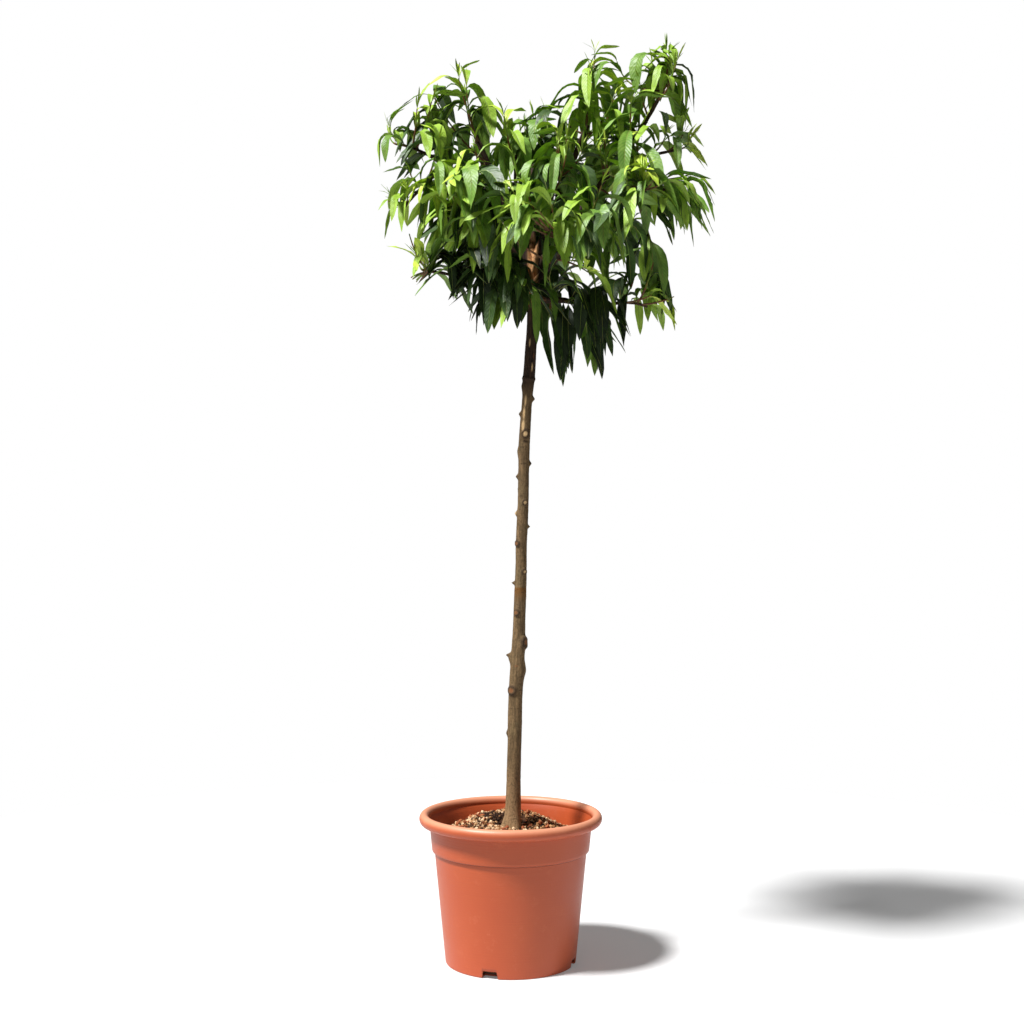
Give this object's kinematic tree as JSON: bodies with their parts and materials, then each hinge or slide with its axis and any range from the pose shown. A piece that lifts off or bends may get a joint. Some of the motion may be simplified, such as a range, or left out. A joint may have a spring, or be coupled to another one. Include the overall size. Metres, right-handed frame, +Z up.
{
  "type": "potted white peach tree",
  "caption": "Young grafted peach tree with a slim knotted trunk and a loose head of long drooping leaves, in a round terracotta-coloured plastic pot with a rolled rim.",
  "frame": {"origin": "centre of the pot's flat underside, on the surface it stands on", "axes": "+Z up along the pot's axis and the tree's height; -Y is the side seen in the picture, with +X to its right"},
  "size_m": [0.6371, 0.54, 1.731],
  "materials": {
    "pot": "satin",
    "soil": "matte",
    "bark": "matte",
    "leaves": "satin"
  },
  "bodies": {
    "root": {"bough_back": "bark", "bough_back_left": "bark", "bough_back_right": "bark", "bough_back_top": "bark", "bough_front": "bark", "bough_front_right": "bark", "bough_left": "bark", "bough_left_leader": "bark", "bough_low_back": "bark", "bough_low_left": "bark", "bough_low_right": "bark", "bough_middle": "bark", "bough_right": "bark", "bough_right_leader": "bark", "bough_top_middle": "bark", "branch_far_left": "bark", "branch_far_right": "bark", "branch_left_hanging": "bark", "branch_left_low": "bark", "branch_lower_right": "bark", "branch_right_front": "bark", "branch_right_hanging": "bark", "branch_right_low": "bark", "branch_upper_right": "bark", "mass_back_left_high": "leaves", "mass_back_left_low": "leaves", "mass_back_low": "leaves", "mass_back_middle": "leaves", "mass_back_right_high": "leaves", "mass_back_right_low": "leaves", "mass_back_top": "leaves", "mass_bottom_middle": "leaves", "mass_bottom_right": "leaves", "mass_centre_left": "leaves", "mass_far_left": "leaves", "mass_far_right": "leaves", "mass_front_high": "leaves", "mass_front_left": "leaves", "mass_front_right": "leaves", "mass_inner_left": "leaves", "mass_left_hanging": "leaves", "mass_left_leader": "leaves", "mass_left_low": "leaves", "mass_left_middle": "leaves", "mass_left_shoulder": "leaves", "mass_low_left": "leaves", "mass_lower_right": "leaves", "mass_middle_shoot": "leaves", "mass_right_core": "leaves", "mass_right_front": "leaves", "mass_right_hanging": "leaves", "mass_right_low": "leaves", "mass_top_middle": "leaves", "mass_top_right": "leaves", "mass_upper_right": "leaves", "pot": "pot", "soil": "soil", "trunk": "bark"}
  },
  "joints": []
}
